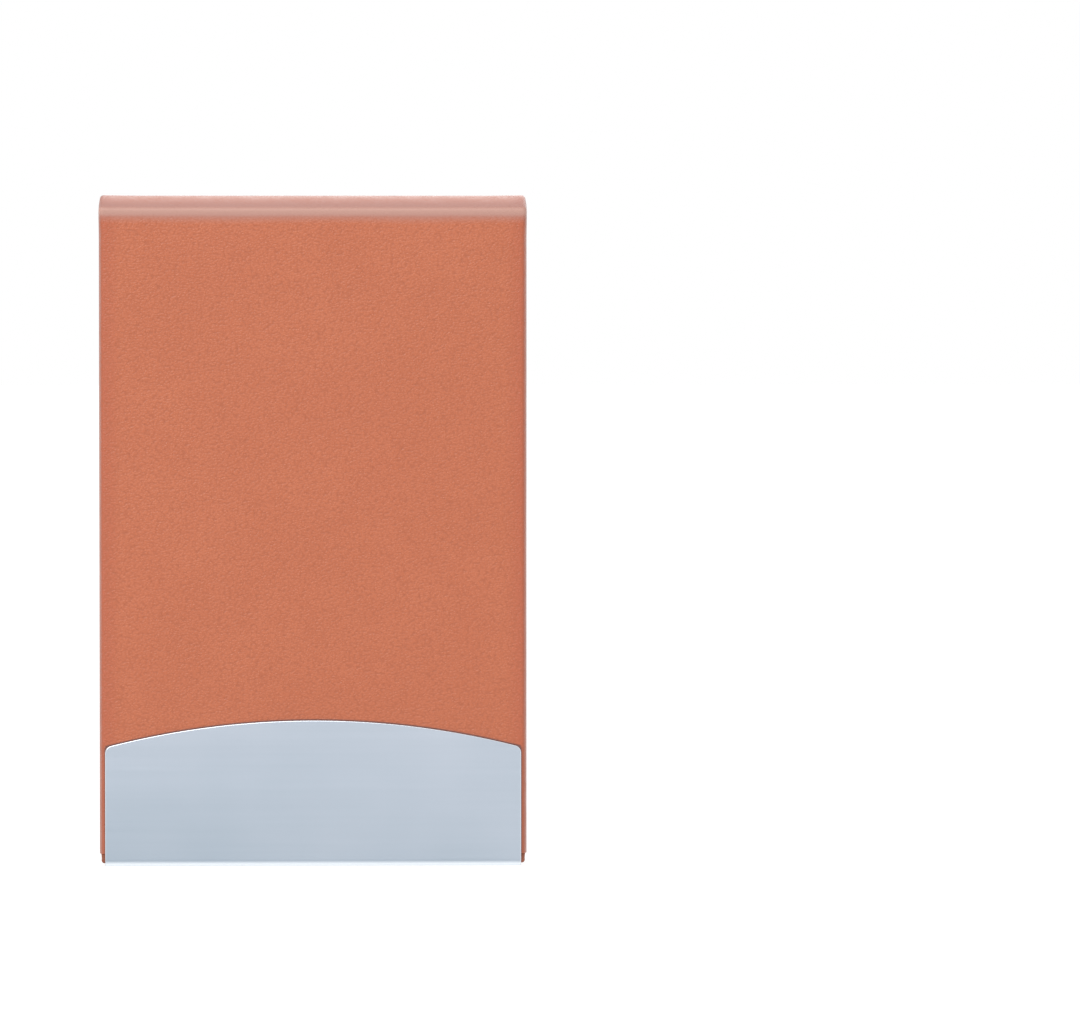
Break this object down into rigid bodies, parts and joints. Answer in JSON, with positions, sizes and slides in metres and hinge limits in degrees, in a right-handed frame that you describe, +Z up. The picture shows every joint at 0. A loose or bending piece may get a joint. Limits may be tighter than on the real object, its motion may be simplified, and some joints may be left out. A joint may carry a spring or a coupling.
{
  "type": "business card case",
  "caption": "Flat upright business card case: steel card tray in a leather cover, with a fold-over magnetic lid trimmed by an arched steel plate.",
  "frame": {"origin": "middle of the base, halfway across the width and the thickness, on the surface that the case stands on", "axes": "+Z up, along the case's long side; -Y is the front, the lid's face with the steel trim plate; +Y is the leather back; X runs across the width"},
  "size_m": [0.062, 0.0142, 0.097],
  "materials": {
    "steel": "satin, cool grey, polished edges",
    "leather": "fine pebbled, semi-matt, tan orange",
    "inner_leather": "smooth, matt, brown",
    "lining": "black, matt, short nap",
    "board": "grey board",
    "foam": "thin off-white foam",
    "magnet": "nickel plated"
  },
  "bodies": {
    "tray": {"tray_shell": "steel", "side_plate_left": "steel", "side_plate_right": "steel", "back_board": "board", "back_foam": "foam", "back_leather": "leather"},
    "spine": {"spine_leather": "leather", "spine_lining": "lining"},
    "lid": {"lid_leather": "leather", "lid_foam": "foam", "lid_board": "board", "lid_magnet_left": "magnet", "lid_magnet_right": "magnet", "lid_lining": "lining", "lid_trim_plate": "steel", "return_leather": "inner_leather"}
  },
  "joints": [
    {"name": "rear_fold", "type": "hinge", "parent": "tray", "child": "spine", "pos_m": [0, 0.0061, 0.09595], "axis": [-1, 0, 0], "range_deg": [0, 90]},
    {"name": "front_fold", "type": "hinge", "parent": "spine", "child": "lid", "pos_m": [0, -0.0064, 0.09595], "axis": [-1, 0, 0], "range_deg": [0, 90]}
  ],
  "couplings": [
    {"joint": "front_fold", "follows": "rear_fold", "ratio": 1}
  ]
}
